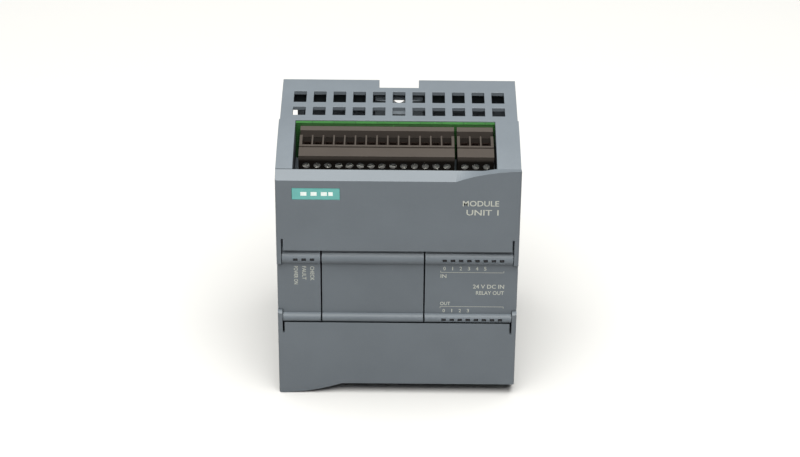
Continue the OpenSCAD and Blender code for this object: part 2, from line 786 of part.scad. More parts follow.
module main_terminal_header() placed() color("#55524c") header(main_x, main_ways);
module main_terminal_plug() placed() color("#4a4742") plug(main_x, main_ways);
module main_terminal_clamps() placed() color("#b9bcbe") clamps(main_x, main_ways);
module main_terminal_screws() placed() color("#c4c6c8") screws(main_x, main_ways);
module analog_terminal_header() placed() color("#55524c") header(analog_x, analog_ways);
module analog_terminal_plug() placed() color("#4a4742") plug(analog_x, analog_ways);
module analog_terminal_clamps() placed() color("#b9bcbe") clamps(analog_x, analog_ways);
module analog_terminal_screws() placed() color("#c4c6c8") screws(analog_x, analog_ways);
module output_terminal_header() placed() color("#55524c") mirrored_down() header(output_x, output_ways);
module output_terminal_plug() placed() color("#4a4742") mirrored_down() plug(output_x, output_ways);
module output_terminal_clamps() placed() color("#b9bcbe") mirrored_down() clamps(output_x, output_ways);
module output_terminal_screws() placed() color("#c4c6c8") mirrored_down() screws(output_x, output_ways);

module terminal_pins() placed() color("#c8b067")
    for_each_way() rod_f(contact_r, board_f0 - 0.8, plug_f0 + 5, 0, pin_z);

// ---------- Network jack ----------

jack_f0 = header_f0;
jack_cx = jack_x + jack[0] / 2;

module network_jack_shell() placed() color("#bfc3c6") difference() {
    block([jack_x, jack_x + jack[0]], [jack_f0, jack_f0 + jack[1]], [jack_z0, jack_z0 + jack[2]]);
    block([jack_x + 0.4, jack_x + jack[0] - 0.4], [jack_f0 + 0.4, jack_f0 + jack[1] - 0.4],
          [jack_z0 - over, jack_z0 + jack[2] - 0.4]);
}

module network_jack_insert() placed() color("#1f2022") difference() {
    block([jack_x + 0.5, jack_x + jack[0] - 0.5], [jack_f0 + 0.5, jack_f0 + jack[1] - 0.5],
          [jack_z0 + 0.2, jack_z0 + jack[2] - 0.5]);
    block([jack_cx - 5.95, jack_cx + 5.95], [jack_f0 + 3.4, jack_f0 + 11.8], [jack_z0 - over, jack_z0 + 14]);
    block([jack_cx - 3.1, jack_cx + 3.1], [jack_f0 + 1.6, jack_f0 + 4], [jack_z0 - over, jack_z0 + 14]);
}

module network_jack_contacts() placed() color("#cfae52") for (i = [0:7])
    translate([jack_cx + (i - 3.5) * 1.02, 0, 0])
        block([-0.2, 0.2], [jack_f0 + 10.2, jack_f0 + 10.6], [jack_z0 + 4, jack_z0 + 14]);

// ---------- Sockets on the processor board ----------

module card_socket() placed() color("#b4b8bb") difference() {
    block([card_x - 1, card_x + card_w + 1], [cpu_f1, deck_f - deck_t - 0.2],
          [card_z - 0.8, card_z + card_h + 0.8]);
    block([card_x + 0.2, card_x + card_w - 0.2], [cpu_f1 + 2, deck_f], [card_z + 0.5, card_z + card_h - 0.5]);
}

module expansion_socket() placed() color("#26272a") difference() {
    block(expansion_x, [cpu_f1, slot_f + socket_stand], expansion_z);
    for (i = [0:5]) for (dz = [1.5, 5.5])
        rod_f(0.5, slot_f - over, slot_f + 2 * socket_stand, expansion_x[0] + 2 + 2 * i, expansion_z[0] + dz);
}

// ---------- Indicators ----------

// A row of light guides from the lamps to just under the bead
module light_pipes(xs, z, bead_r) {
    inset = 0.15;
    tip_f = front_f - bead_r + sqrt(pow(bead_r, 2) - pow(lamp_h / 2, 2)) - 0.1;
    for (x = xs) block([x - lamp_w / 2 + inset, x + lamp_w / 2 - inset], [lamp_f0 + 0.2, tip_f],
                       [z - lamp_h / 2 + inset, z + lamp_h / 2 - inset]);
    block([min(xs) - 0.7, max(xs) + 0.7], [deck_f - 8, deck_f - 7], [z - 0.5, z + 0.5]);
}

module status_light_pipes() placed() color("#3c4147") light_pipes(status_x, upper_bead_z, upper_bead_r);
module upper_light_pipes() placed() color("#3c4147") light_pipes(channel_x, upper_bead_z, upper_bead_r);
module lower_light_pipes() placed() color("#3c4147") light_pipes(channel_x, lower_bead_z, lower_bead_r);

module indicator_lamps() placed() color("#e8e4d0") {
    for (x = concat(status_x, channel_x))
        block([x - 0.6, x + 0.6], [cpu_f1, lamp_f0], [upper_bead_z - 0.5, upper_bead_z + 0.5]);
    for (x = channel_x)
        block([x - 0.6, x + 0.6], [cpu_f1, lamp_f0], [lower_bead_z - 0.5, lower_bead_z + 0.5]);
}

// ---------- Parts on the boards ----------

module board_link() placed() color("#2b2c2e")
    block([-link_half_w, link_half_w], [board_f1, cpu_f0], [case_h / 2 - 24, case_h / 2 - 19]);

module power_link() placed() color("#2b2c2e") for (x = power_link_xs)
    block([x - power_link_w / 2, x + power_link_w / 2], [power_f1, board_f0], power_link_z);

module transformer_core() placed() color("#3a3b3f") translate([core_at[0], core_f, core_at[1]]) difference() {
    block([-core[0] / 2, core[0] / 2], [0, core[1]], [-core[2] / 2, core[2] / 2]);
    both_sides() block([core_limb / 2, core[0] / 2 - core_limb / 2], [-over, core[1] + over],
                       [core_limb / 2 - core[2] / 2 + 0.5, core[2] / 2 - core_limb / 2 - 0.5]);
}

// Tape-wrapped coil round the middle limb
module transformer_winding() placed() color("#c9a23c")
    translate([core_at[0], core_f, core_at[1]]) difference() {
        block([-coil_half_w, coil_half_w], [-core_lift, core[1] + 1.5], [-coil_half_h, coil_half_h]);
        block([-core_limb / 2 - 0.1, core_limb / 2 + 0.1], [-0.1, core[1] + 0.1], [-core[2], core[2]]);
    }

module bulk_capacitor() placed() color("#1d2a4a") {
    rod_f(bulk_cap_r, power_f1, power_f1 + bulk_cap_h, bulk_cap_at[0], bulk_cap_at[1]);
    rod_f(bulk_cap_r - 0.8, power_f1 + bulk_cap_h - eps, power_f1 + bulk_cap_h + 0.7,
          bulk_cap_at[0], bulk_cap_at[1]);
}

module output_capacitors() placed() color("#26262b") for (p = output_cap_at)
    rod_f(output_cap_r, power_f1, power_f1 + output_cap_h, p[0], p[1]);

// The ring core of the line choke lies on the board with its axis forward
module choke_ring(lift) translate([choke_at[0], power_f1 + lift, choke_at[1]]) rotate([-90, 0, 0]) children();

module line_choke_core() placed() color("#4b6b52") choke_ring(choke_lift)
    rotate_extrude() translate([choke_r[0], 0]) square([choke_r[1] - choke_r[0], choke_h]);

// Two coils on opposite sides of the ring
module line_choke_winding() placed() color("#b5672c") choke_ring(choke_lift - choke_wire)
    for (a = [-55, 125]) rotate([0, 0, a]) difference() {
        rotate_extrude(angle = 110) translate([choke_r[0] - choke_wire, 0])
            square([choke_r[1] - choke_r[0] + 2 * choke_wire, choke_h + 2 * choke_wire]);
        translate([0, 0, choke_wire - 0.1]) rotate([0, 0, -5]) rotate_extrude(angle = 120)
            translate([choke_r[0] - 0.1, 0]) square([choke_r[1] - choke_r[0] + 0.2, choke_h + 0.2]);
    }

module mains_fuse() placed() color("#57301f")
    rod_f(fuse_r, power_f1, power_f1 + fuse_h, fuse_at[0], fuse_at[1]);

module varistor() placed() color("#2f5fa3")
    rod_x(varistor_r, varistor_at[0], varistor_at[0] + varistor_t, power_f1 + varistor_r + 1, varistor_at[1]);

module rectifier() placed() color("#202124")
    block(rectifier_x, [power_f1, power_f1 + rectifier_h], rectifier_z);

module heat_sink() placed() color("#a9adb0") {
    block([sink_x, sink_x + sink_base_t], [power_f1, power_f1 + sink_h], sink_z);
    for (i = [0:sink_fins - 1]) translate([0, 0, i * (sink_z[1] - sink_z[0] - sink_fin_t) / (sink_fins - 1)])
        block([sink_x + sink_base_t - eps, sink_x + sink_w], [power_f1, power_f1 + sink_h],
              [sink_z[0], sink_z[0] + sink_fin_t]);
}

// Bolted flat against the back of the heat sink
module switching_transistor() placed() color("#1d1e20")
    block([sink_x - 4.6, sink_x], [power_f1 + 1, power_f1 + 17], [sink_z[0] + 8, sink_z[0] + 18]);

module optocouplers() placed() color("#e6e4dc") for (i = [0:5])
    translate([opto_x + i * opto_pitch, 0, bay_z - 9]) block([0, opto[0]], [board_f1, board_f1 + opto[1]], [0, opto[2]]);

module output_drivers() placed() color("#1c1d1f") for (i = [0:3])
    translate([driver_x + i * driver_pitch, 0, bay_depth + 5])
        block([0, driver[0]], [board_f1, board_f1 + driver[1]], [0, driver[2]]);

module processor_chip() placed() color("#191a1c") block([-10, 7], [cpu_f0 - 1.4, cpu_f0], chip_z);

module memory_chips() placed() color("#1d1e20")
    for (x = memory_xs) block([x, x + 8], [cpu_f0 - 1.1, cpu_f0], chip_z + [2, -3]);

module network_transformer() placed() color("#202124")
    block([jack_x + 1, jack_x + jack[0] - 1], [board_f1, board_f1 + 6],
          [jack_z0 + jack[2] + 3, jack_z0 + jack[2] + 12]);

module backup_capacitor() placed() color("#23324f")
    rod_f(backup_cap_r, cpu_f0 - backup_cap_h, cpu_f0, backup_cap_at[0], backup_cap_at[1]);

module crystal() placed() color("#c7cacc")
    block([crystal_x, crystal_x + crystal_size[0]], [cpu_f0 - crystal_size[1], cpu_f0],
          [chip_z[0] + 6, chip_z[0] + 6 + crystal_size[2]]);

rear_housing();
front_housing();
upper_door();
lower_door();
centre_cover();
nameplate();
upper_din_clip();
lower_din_clip();
left_bus_cover();
right_bus_cover();
main_board();
power_board();
processor_board();
insulating_sheet();
board_screws();
main_terminal_header();
main_terminal_plug();
main_terminal_clamps();
main_terminal_screws();
analog_terminal_header();
analog_terminal_plug();
analog_terminal_clamps();
analog_terminal_screws();
output_terminal_header();
output_terminal_plug();
output_terminal_clamps();
output_terminal_screws();
terminal_pins();
network_jack_shell();
network_jack_insert();
network_jack_contacts();
card_socket();
expansion_socket();
left_bus_socket();
right_bus_socket();
status_light_pipes();
upper_light_pipes();
lower_light_pipes();
indicator_lamps();
board_link();
power_link();
transformer_core();
transformer_winding();
bulk_capacitor();
output_capacitors();
line_choke_core();
line_choke_winding();
mains_fuse();
varistor();
rectifier();
switching_transistor();
heat_sink();
optocouplers();
output_drivers();
processor_chip();
memory_chips();
network_transformer();
backup_capacitor();
crystal();
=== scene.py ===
import math

import bpy
import numpy as np
from mathutils import Matrix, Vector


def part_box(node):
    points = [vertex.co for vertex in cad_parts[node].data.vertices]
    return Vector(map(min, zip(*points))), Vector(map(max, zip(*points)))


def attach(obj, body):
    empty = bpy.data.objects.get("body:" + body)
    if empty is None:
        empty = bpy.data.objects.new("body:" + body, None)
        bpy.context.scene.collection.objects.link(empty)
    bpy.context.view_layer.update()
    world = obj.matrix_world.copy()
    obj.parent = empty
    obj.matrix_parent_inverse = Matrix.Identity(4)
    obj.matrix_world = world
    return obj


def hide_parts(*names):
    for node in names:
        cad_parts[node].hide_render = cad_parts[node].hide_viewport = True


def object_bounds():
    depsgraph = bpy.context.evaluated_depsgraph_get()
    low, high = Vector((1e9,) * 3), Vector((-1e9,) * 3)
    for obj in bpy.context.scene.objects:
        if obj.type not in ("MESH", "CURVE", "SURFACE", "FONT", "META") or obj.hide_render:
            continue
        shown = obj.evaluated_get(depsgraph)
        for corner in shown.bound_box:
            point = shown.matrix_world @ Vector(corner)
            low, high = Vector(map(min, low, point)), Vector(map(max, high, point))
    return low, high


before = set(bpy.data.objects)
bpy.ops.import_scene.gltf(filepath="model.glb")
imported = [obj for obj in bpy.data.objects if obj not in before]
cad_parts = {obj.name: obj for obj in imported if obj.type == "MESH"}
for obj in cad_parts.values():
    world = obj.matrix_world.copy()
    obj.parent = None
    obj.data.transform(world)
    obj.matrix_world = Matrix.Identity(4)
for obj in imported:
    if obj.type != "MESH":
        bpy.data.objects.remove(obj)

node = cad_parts
case_low, case_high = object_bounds()
MID_HEIGHT = (case_low[2] + case_high[2]) / 2
MM = 0.001


# ---------- Rear housing ----------
# Injection-moulded tray of grey glass-filled plastic with a fine spark-eroded skin, open to the front.
# Its back carries four pads round the rail groove, and louvres let warm air out at the top and in below.

SHELL_GREY = (0.093, 0.108, 0.124, 1.0)
BLACK = (0.0, 0.0, 0.0, 1.0)
WHITE = (1.0, 1.0, 1.0, 1.0)


def finish(name, roughness, metallic=0.0, coat=0.0, specular=0.5):
    """A new material whose even numbers sit on the shader itself; returns (material, tree, shader)."""
    material = bpy.data.materials.new(name)
    material.use_nodes = True
    tree = material.node_tree
    shader = tree.nodes["Principled BSDF"]
    shader.inputs["Roughness"].default_value = roughness
    shader.inputs["Metallic"].default_value = metallic
    shader.inputs["Coat Weight"].default_value = coat
    shader.inputs["Specular IOR Level"].default_value = specular
    return material, tree, shader


def on_piece(tree, stretch=(1.0, 1.0, 1.0), turn=(0.0, 0.0, 0.0)):
    """Object coordinates, scaled by stretch and turned, for patterns that stay on the piece."""
    coordinates = tree.nodes.new("ShaderNodeTexCoord")
    mapping = tree.nodes.new("ShaderNodeMapping")
    mapping.inputs["Scale"].default_value = stretch
    mapping.inputs["Rotation"].default_value = turn
    tree.links.new(coordinates.outputs["Object"], mapping.inputs["Vector"])
    return mapping.outputs["Vector"]


def noise(tree, where, feature, detail=2.0):
    """Grey noise with marks about feature metres across."""
    texture = tree.nodes.new("ShaderNodeTexNoise")
    texture.inputs["Scale"].default_value = 1.0 / feature
    texture.inputs["Detail"].default_value = detail
    tree.links.new(where, texture.inputs["Vector"])
    return texture.outputs["Fac"]


def ramp(tree, value, stops):
    """Colours between stops of (place from 0 to 1, colour), read at value."""
    colours = tree.nodes.new("ShaderNodeValToRGB")
    for index, (place, colour) in enumerate(stops):
        if index > 1:
            colours.color_ramp.elements.new(place)
        colours.color_ramp.elements[index].position = place
        colours.color_ramp.elements[index].color = colour
    tree.links.new(value, colours.inputs["Fac"])
    return colours.outputs["Color"]


def shade(colour, factor):
    """The colour made lighter or darker by factor."""
    return (*[min(1.0, c * factor) for c in colour[:3]], 1.0)


def spread(tree, value, low, high):
    """value from 0..1 carried onto low..high."""
    carried = tree.nodes.new("ShaderNodeMapRange")
    carried.inputs["To Min"].default_value = low
    carried.inputs["To Max"].default_value = high
    tree.links.new(value, carried.inputs["Value"])
    return carried.outputs["Result"]


def relief(tree, shader, height, depth):
    """Lifts the shader's surface by height times depth metres."""
    bump = tree.nodes.new("ShaderNodeBump")
    bump.inputs["Distance"].default_value = depth
    tree.links.new(height, bump.inputs["Height"])
    tree.links.new(bump.outputs["Normal"], shader.inputs["Normal"])


def worn_edges(tree, radius):
    """1 on edges, 0 on flats: how far the true normal is from one averaged over radius."""
    rounded = tree.nodes.new("ShaderNodeBevel")
    rounded.inputs["Radius"].default_value = radius
    rounded.samples = 4
    geometry = tree.nodes.new("ShaderNodeNewGeometry")
    cosine = tree.nodes.new("ShaderNodeVectorMath")
    cosine.operation = "DOT_PRODUCT"
    tree.links.new(rounded.outputs["Normal"], cosine.inputs[0])
    tree.links.new(geometry.outputs["Normal"], cosine.inputs[1])
    return ramp(tree, cosine.outputs["Value"], [(0.80, WHITE), (0.985, BLACK)])


def mixed(tree, amount, first, second):
    """first where amount is 0, second where it is 1; each is a socket or a colour."""
    mix = tree.nodes.new("ShaderNodeMix")
    mix.data_type = "RGBA"
    sockets = [s for s in mix.inputs if s.enabled]
    for socket, value in zip(sockets, (amount, first, second)):
        if isinstance(value, bpy.types.NodeSocket):
            tree.links.new(value, socket)
        else:
            socket.default_value = value
    return [s for s in mix.outputs if s.enabled][0]


def moulded(name, colour, rough=0.50, grain=0.30 * MM, depth=0.016 * MM, wear=0.10,
            specular=0.32):
    """Moulded plastic: a fine grain that lifts the skin, slow clouds of colour, and edges rubbed lighter."""
    material, tree, shader = finish(name, rough, specular=specular)
    where = on_piece(tree)
    speckle = noise(tree, where, 1.1 * MM, 3.0)
    clouds = noise(tree, where, 18 * MM, 3.0)
    body = ramp(tree, clouds, [(0.35, shade(colour, 0.965)), (0.65, shade(colour, 1.035))])
    flecks = ramp(tree, speckle, [(0.42, BLACK), (0.80, (0.16, 0.16, 0.16, 1))])
    body = mixed(tree, flecks, body, shade(colour, 1.25))
    rubbed = mixed(tree, worn_edges(tree, 0.35 * MM), BLACK, (wear, wear, wear, 1))
    body = mixed(tree, rubbed, body, shade(colour, 2.6))
    tree.links.new(body, shader.inputs["Base Color"])
    tree.links.new(spread(tree, speckle, rough - 0.07, rough + 0.09), shader.inputs["Roughness"])
    relief(tree, shader, noise(tree, where, grain, 1.0), depth)
    return material


def soften(piece, width=0.28 * MM):
    """Joins the loose triangles, drops the edges inside flat faces, and rounds every sharp edge."""
    weld = piece.modifiers.new("join", "WELD")
    weld.merge_threshold = 0.001 * MM
    flats = piece.modifiers.new("flats", "DECIMATE")
    flats.decimate_type = "DISSOLVE"
    flats.angle_limit = math.radians(0.5)
    edge = piece.modifiers.new("edge", "BEVEL")
    edge.width = width
    edge.segments = 2
    edge.limit_method = "ANGLE"
    edge.angle_limit = math.radians(35)
    edge.use_clamp_overlap = True
    smooth = piece.modifiers.new("shade", "WEIGHTED_NORMAL")
    smooth.keep_sharp = True


def dress(name, material, edge=0.28 * MM):
    """Gives a node its material and its rounded edges."""
    mesh = node[name].data
    mesh.materials.clear()
    mesh.materials.append(material)
    if edge:
        soften(node[name], edge)


dress("rear_housing", moulded("rear_housing_grain", SHELL_GREY))


# ---------- Front housing ----------
# The front half, moulded in the same plastic: hood, wiring bays, deck, hinge sockets and the middle panel.
# It snaps over the main board and butts against the rear housing at the seam.

dress("front_housing", moulded("front_housing_grain", SHELL_GREY))


# ---------- Doors ----------
# Two thin hinged doors of the same plastic, each with a rolled lip and one long swept corner.
# Flexing slits beside the ears let the pins spring into their sockets.

door_plastic = moulded("door_grain", SHELL_GREY)
for name in ("upper_door", "lower_door"):
    dress(name, door_plastic)


# ---------- Centre cover and bus covers ----------
# A snap-in blank over the expansion slot, and one sliding plate over the bus socket in each side.
# They come from other moulds in the same plastic, with slightly sharper edges.

cover_plastic = moulded("cover_grain", shade(SHELL_GREY, 0.97))
for name in ("centre_cover", "left_bus_cover", "right_bus_cover"):
    dress(name, cover_plastic, 0.2 * MM)


# ---------- Rail clips ----------
# Two sliding blocks of a tougher, darker plastic at the back, sprung out of the case by a screwdriver.
# Use polishes their edges.

clip_plastic = moulded("clip_grain", shade(SHELL_GREY, 0.62), rough=0.38, wear=0.18)
for name in ("upper_din_clip", "lower_din_clip"):
    dress(name, clip_plastic)


# ---------- Circuit boards ----------
# Glass-epoxy laminate under green solder mask, with copper tracks and pads that show through it.
# The main board stands upright at the seam, and its edge shows in the wiring bays.

MASK_GREEN = (0.017, 0.074, 0.016, 1.0)


def laminate(name, track=0.9 * MM):
    """Green mask over tracks: bricks drawn along x and z, of which the joints are bare laminate."""
    material, tree, shader = finish(name, 0.34, coat=0.25)
    where = on_piece(tree, turn=(math.radians(90), 0, 0))
    tracks = tree.nodes.new("ShaderNodeTexBrick")
    tracks.inputs["Scale"].default_value = 1.0
    tracks.inputs["Brick Width"].default_value = 9 * track
    tracks.inputs["Row Height"].default_value = track
    tracks.inputs["Mortar Size"].default_value = 0.22 * track
    tracks.inputs["Mortar Smooth"].default_value = 0.2
    tracks.inputs["Color1"].default_value = shade(MASK_GREEN, 1.25)
    tracks.inputs["Color2"].default_value = shade(MASK_GREEN, 1.05)
    tracks.inputs["Mortar"].default_value = shade(MASK_GREEN, 0.72)
    tree.links.new(where, tracks.inputs["Vector"])
    dots = tree.nodes.new("ShaderNodeTexVoronoi")
    dots.inputs["Scale"].default_value = 1.0 / (2.6 * MM)
    dots.inputs["Randomness"].default_value = 0.75
    tree.links.new(where, dots.inputs["Vector"])
    pads = ramp(tree, dots.outputs["Distance"], [(0.10, WHITE), (0.14, BLACK)])
    body = mixed(tree, pads, tracks.outputs["Color"], shade(MASK_GREEN, 2.0))
    tree.links.new(body, shader.inputs["Base Color"])
    tree.links.new(spread(tree, noise(tree, where, 2 * MM), 0.26, 0.42), shader.inputs["Roughness"])
    relief(tree, shader, tracks.outputs["Fac"], -0.03 * MM)
    return material


green_laminate = laminate("solder_mask")
for name in ("main_board", "power_board", "processor_board"):
    dress(name, green_laminate, 0.12 * MM)


# ---------- Insulating sheet ----------
# A stiff sheet of brown pressed fibre between the power board and the back wall, coloured very dark as painted
# shade of the unlit inside of the case seen through the vents.
# Its fibres run mostly one way.

film, film_tree, film_shader = finish("fibre_film", 0.55)
fibres = noise(film_tree, on_piece(film_tree, stretch=(1.0, 1.0, 9.0)), 3 * MM, 4.0)
# Very dark brown: the fibre's own brown, darkened as painted shade of the case's inside.
fibre_brown_painted_shade = ramp(film_tree, fibres, [(0.3, (0.060, 0.042, 0.037, 1)), (0.7, (0.085, 0.062, 0.054, 1))])
film_tree.links.new(fibre_brown_painted_shade, film_shader.inputs["Base Color"])
relief(film_tree, film_shader, fibres, 0.02 * MM)
dress("insulating_sheet", film, 0.0)


# ---------- Board screws ----------
# Four cross-recessed steel screws, zinc plated, that hold the power board and the sheet to the bosses.
# The plating is slightly cloudy and has fine turning marks.


def plated(name, colour, rough=0.30, lines=(1.0, 1.0, 1.0), depth=0.004 * MM):
    """Plated metal: fine marks, longest along the axis where lines is least, over clouds in the plating."""
    material, tree, shader = finish(name, rough, metallic=1.0)
    marks = noise(tree, on_piece(tree, stretch=lines), 0.35 * MM, 4.0)
    clouds = noise(tree, on_piece(tree), 4 * MM, 3.0)
    body = ramp(tree, clouds, [(0.3, shade(colour, 0.82)), (0.7, colour)])
    dull = ramp(tree, marks, [(0.45, BLACK), (0.9, (0.5, 0.5, 0.5, 1))])
    body = mixed(tree, dull, body, shade(colour, 0.55))
    tree.links.new(body, shader.inputs["Base Color"])
    tree.links.new(spread(tree, marks, rough - 0.08, rough + 0.18), shader.inputs["Roughness"])
    relief(tree, shader, marks, depth)
    return material


zinc = plated("zinc_plate", (0.62, 0.63, 0.64, 1))
dress("board_screws", zinc, 0.1 * MM)


# ---------- Terminal plugs, headers and clamps ----------
# Plug-in strips of dark brown-grey polyamide. Each way has a wire cell with a folded steel cage, coloured
# nearly black as painted shade of the cell, and a screw well in front. The plugs push onto pins that stand in
# headers on the main board. The wells of the real plug are deeper than the node's, so below the top face the
# plug's colour is darkened and its shine dulled as painted shade of those deeper wells.

PLUG_BROWN = (0.037, 0.031, 0.027, 1.0)

plug_plastic = moulded("plug_polyamide_painted_shade", PLUG_BROWN, rough=0.46, grain=0.22 * MM, wear=0.16)
header_plastic = moulded("header_polyamide", shade(PLUG_BROWN, 1.1), rough=0.5, grain=0.22 * MM)


def darker_inside(material, reach, fade, factor):
    """Painted shade: scales a plug's colour by factor and dulls its shine below its top face, by an amount
    that is 0 where the distance from mid-height is reach or more, and 1 where it is reach less fade."""
    tree = material.node_tree
    shader = tree.nodes["Principled BSDF"]
    height = tree.nodes.new("ShaderNodeSeparateXYZ")
    tree.links.new(on_piece(tree), height.inputs["Vector"])
    from_middle = height.outputs["Z"]
    for operation, value in (("SUBTRACT", MID_HEIGHT), ("ABSOLUTE", 0.0), ("SUBTRACT", reach),
                             ("DIVIDE", -fade)):
        step = tree.nodes.new("ShaderNodeMath")
        step.operation = operation
        step.inputs[1].default_value = value
        tree.links.new(from_middle, step.inputs[0])
        from_middle = step.outputs["Value"]
    # inside is the amount of painted shade, 0 at the top rim and 1 deeper down; below is the darkened colour
    # it paints.
    inside = ramp(tree, from_middle, [(0.0, BLACK), (1.0, WHITE)])
    skin = shader.inputs["Base Color"].links[0].from_socket
    below = tree.nodes.new("ShaderNodeHueSaturation")
    below.inputs["Value"].default_value = factor
    tree.links.new(skin, below.inputs["Color"])
    tree.links.new(mixed(tree, inside, skin, below.outputs["Color"]), shader.inputs["Base Color"])
    tree.links.new(spread(tree, inside, 0.32, 0.04), shader.inputs["Specular IOR Level"])


# The cage's steel is coloured nearly black as painted shade of the deep wire cells.
cage_steel_painted_shade = plated("cage_painted_shade", (0.030, 0.020, 0.017, 1), rough=0.44, lines=(1.0, 6.0, 1.0))
# Painted shade on the plugs: full colour only in a thin rim at the top face, darker and duller below it.
UNSHADED_RIM = 1.0 * MM
PAINTED_SHADE_FADE = 1.2 * MM
plug_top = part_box("main_terminal_plug")[1][2]
darker_inside(plug_plastic, plug_top - MID_HEIGHT - UNSHADED_RIM, PAINTED_SHADE_FADE, 0.16)
for row in ("main", "analog", "output"):
    dress(row + "_terminal_plug", plug_plastic, 0.12 * MM)
    dress(row + "_terminal_header", header_plastic, 0.15 * MM)
    dress(row + "_terminal_clamps", cage_steel_painted_shade, 0.06 * MM)

gold = plated("gold_flash", (0.83, 0.61, 0.24, 1), rough=0.22)
dress("terminal_pins", gold, 0.08 * MM)


# ---------- Terminal screws ----------
# One zinc-plated captive screw for each way: a flat cheese head with a slot, left at whatever turn the
# last tightening gave it, and a threaded shank that runs back into the cage.

SCREW_TURNS = np.random.default_rng(11)


def closed_mesh(name, points, faces, material, body, sharp=None):
    """A piece made of points and faces, with its material and body. Where sharp is given, only
    edges that turn by more than that angle stay sharp."""
    mesh = bpy.data.meshes.new(name)
    mesh.from_pydata(points.tolist(), [], faces)
    mesh.materials.append(material)
    if sharp is not None:
        mesh.shade_smooth()
        mesh.set_sharp_from_angle(angle=sharp)
    piece = bpy.data.objects.new(name, mesh)
    bpy.context.collection.objects.link(piece)
    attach(piece, body)
    return piece


def lathe_faces(rings, sides):
    """Quads between rings of sides points each, wrapped round and wound to face away from the axis."""
    ring, side = np.meshgrid(np.arange(rings - 1), np.arange(sides), indexing="ij")
    a = ring * sides + side
    b = ring * sides + (side + 1) % sides
    return np.stack([a, b, b + sides, a + sides], axis=-1).reshape(-1, 4)


def slotted_screws(centres, head_f, head_r, head_t, shank_r, shank_len, slot_w, slot_d, sides=32):
    """Screws with their axes along y. Ring k has radius r_k and depth y_k from the profile below. A point of
    the top rings is pushed back by slot_d where |r sin(a)| < slot_w / 2, then all is turned by a chance
    angle. The thread is a wave of the shank's radius along its length. Returns points and faces."""
    top = [(0.02, 0.0), (0.25, 0.0), (0.45, 0.0), (0.65, 0.0), (0.82, 0.0), (0.93, 0.03)]
    side = [(1.0, 0.12), (1.0, 0.9), (0.94, 1.0)]
    turns = 26
    along = np.linspace(0.0, 1.0, turns)
    wave = shank_r * (0.93 + 0.07 * np.cos(np.arange(turns) * math.pi))
    radii = np.concatenate([[r * head_r for r, _ in top + side], wave, [0.02 * shank_r]])
    depths = np.concatenate([[d * head_t for _, d in top + side], head_t + 0.02 * MM + along * shank_len,
                             [head_t + 0.05 * MM + shank_len]])
    angle = np.arange(sides) * 2 * math.pi / sides
    x = radii[:, None] * np.cos(angle)
    z = radii[:, None] * np.sin(angle)
    y = np.repeat(depths[:, None], sides, axis=1)
    in_slot = (np.abs(z) < slot_w / 2) & (np.arange(len(radii))[:, None] < len(top) + 1)
    y = np.where(in_slot, np.maximum(y, slot_d), y)
    faces = lathe_faces(len(radii), sides)
    caps = np.array([np.arange(sides)[::-1], (len(radii) - 1) * sides + np.arange(sides)])
    points, quads, ends = [], [], []
    for count, (cx, cz) in enumerate(centres):
        turn = SCREW_TURNS.uniform(0, math.pi)
        points.append(np.stack([cx + x * math.cos(turn) - z * math.sin(turn), head_f + y,
                                cz + x * math.sin(turn) + z * math.cos(turn)], axis=-1).reshape(-1, 3))
        quads.append(faces + count * len(radii) * sides)
        ends.append(caps + count * len(radii) * sides)
    return np.concatenate(points), np.concatenate(quads).tolist() + np.concatenate(ends).tolist()


screw_plate = plated("screw_zinc", (0.86, 0.86, 0.83, 1), rough=0.52, lines=(1.0, 0.4, 1.0))
TERMINAL_PITCH = 4.0 * MM
HEAD_R, HEAD_T = 1.45 * MM, 2.3 * MM
SHANK_R = 1.0 * MM
SLOT_W, SLOT_D = 0.55 * MM, 0.8 * MM
TIP_GAP = 0.1 * MM
for row, ways in (("main", 14), ("analog", 3), ("output", 8)):
    low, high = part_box(row + "_terminal_screws")
    middle = (low[0] + high[0]) / 2
    centre_z = (low[2] + high[2]) / 2
    centres = [(middle + (way - (ways - 1) / 2) * TERMINAL_PITCH, centre_z) for way in range(ways)]
    shank_len = high[1] - low[1] - HEAD_T - TIP_GAP
    points, faces = slotted_screws(centres, low[1], HEAD_R, HEAD_T, SHANK_R, shank_len, SLOT_W, SLOT_D)
    screws = closed_mesh(row + "_slotted_screws", points, faces, screw_plate, "case",
                         sharp=math.radians(40))
    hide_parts(row + "_terminal_screws")


# ---------- Network jack ----------
# An 8-way modular jack, mouth down: a folded tin-plated shield round a black insert with gilt contacts.
# It is soldered to the main board and shows in the lower wiring bay.

black_moulding = moulded("black_moulding", (0.019, 0.019, 0.021, 1), rough=0.36, grain=0.2 * MM, wear=0.05)
jack_shield = plated("jack_shield", (0.60, 0.60, 0.58, 1), rough=0.28, lines=(1.0, 1.0, 5.0))
dress("network_jack_shell", jack_shield, 0.1 * MM)
dress("network_jack_insert", black_moulding, 0.1 * MM)
dress("network_jack_contacts", gold, 0.0)


# ---------- Sockets and links ----------
# Card slot with a stamped steel cover, expansion and bus sockets in black thermoplastic, and the black
# pin housings that carry power and signals from board to board.

dress("card_socket", plated("card_cover_steel", (0.58, 0.58, 0.57, 1), lines=(1.0, 1.0, 5.0)), 0.1 * MM)
for name in ("expansion_socket", "left_bus_socket", "right_bus_socket", "board_link", "power_link"):
    dress(name, black_moulding, 0.12 * MM)


# ---------- Light pipes and lamps ----------
# Smoke-tinted acrylic guides carry the light of small lamps on the processor board to the beads.
# Unlit they look nearly black, with a satin tip.

smoke, smoke_tree, smoke_shader = finish("smoked_acrylic", 0.32, specular=0.3)
streaks = noise(smoke_tree, on_piece(smoke_tree, stretch=(3.0, 0.4, 3.0)), 1.5 * MM, 2.0)
smoke_grey = ramp(smoke_tree, streaks, [(0.3, (0.006, 0.006, 0.008, 1)), (0.7, (0.012, 0.012, 0.015, 1))])
smoke_tree.links.new(smoke_grey, smoke_shader.inputs["Base Color"])
for name in ("status_light_pipes", "upper_light_pipes", "lower_light_pipes"):
    dress(name, smoke, 0.2 * MM)

